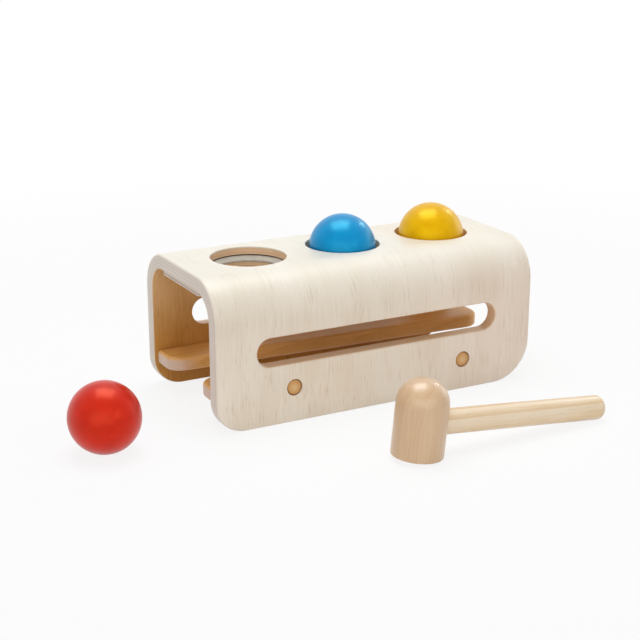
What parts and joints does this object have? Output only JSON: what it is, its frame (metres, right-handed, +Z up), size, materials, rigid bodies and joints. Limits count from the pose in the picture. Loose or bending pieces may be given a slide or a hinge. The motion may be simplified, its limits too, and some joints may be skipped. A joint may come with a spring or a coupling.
{
  "type": "ball pounding toy",
  "caption": "Wooden pounding toy: painted balls held in rubber rings in the deck of a bent plywood bench are hit with a mallet, drop onto spreading rails and roll out.",
  "frame": {"origin": "middle of the front wall's foot, on the floor", "axes": "+X along the bench, away from the open end where the balls roll out; +Y to the back wall; +Z up"},
  "size_m": [0.3637, 0.2379, 0.1298],
  "materials": {
    "birch_plywood": "pale bent plywood, matt clear lacquer, plies bare on the edges",
    "thin_board": "thin plywood, unlacquered",
    "rail_wood": "planed solid wood, oiled",
    "plug_wood": "turned plug, matt",
    "mallet_head_wood": "turned hardwood, fine sanded, matt lacquer",
    "mallet_handle_wood": "pale dowel, fine sanded, matt lacquer",
    "grey_rubber": "moulded rubber, matt",
    "screw_steel": "zinc plated",
    "red_paint": "satin paint on a turned wooden ball",
    "blue_paint": "satin paint on a turned wooden ball",
    "yellow_paint": "satin paint on a turned wooden ball"
  },
  "bodies": {
    "bench": {"plywood_bench": "birch_plywood", "ring_plate": "thin_board", "grip_ring_left": "grey_rubber", "grip_ring_middle": "grey_rubber", "grip_ring_right": "grey_rubber", "plate_screw_1": "screw_steel", "plate_screw_2": "screw_steel", "plate_screw_3": "screw_steel", "plate_screw_4": "screw_steel", "plate_screw_5": "screw_steel", "plate_screw_6": "screw_steel", "plate_screw_7": "screw_steel", "plate_screw_8": "screw_steel", "rail_front": "rail_wood", "rail_back": "rail_wood", "rail_screw_front_left": "screw_steel", "rail_screw_front_right": "screw_steel", "rail_screw_back_left": "screw_steel", "rail_screw_back_right": "screw_steel", "plug_front_left": "plug_wood", "plug_front_right": "plug_wood", "plug_back_left": "plug_wood", "plug_back_right": "plug_wood"},
    "blue_ball": {"ball_blue": "blue_paint"},
    "yellow_ball": {"ball_yellow": "yellow_paint"},
    "red_ball": {"ball_red": "red_paint"},
    "mallet": {"mallet_head": "mallet_head_wood", "mallet_handle": "mallet_handle_wood"}
  },
  "joints": [
    {"name": "blue_ball_drop", "type": "slide", "parent": "bench", "child": "blue_ball", "axis": [0, 0, 1], "range_m": [-0.0511, 0.03], "deforming": ["grip_ring_middle"]},
    {"name": "yellow_ball_drop", "type": "slide", "parent": "bench", "child": "yellow_ball", "axis": [0, 0, 1], "range_m": [-0.0472, 0.03], "deforming": ["grip_ring_right"]},
    {"name": "red_ball_roll", "type": "slide", "parent": "bench", "child": "red_ball", "axis": [1, 0, 0], "range_m": [-0.1, 0.045]},
    {"name": "mallet_lift", "type": "slide", "parent": "bench", "child": "mallet", "axis": [0, 0, 1], "range_m": [0, 0.14]}
  ]
}
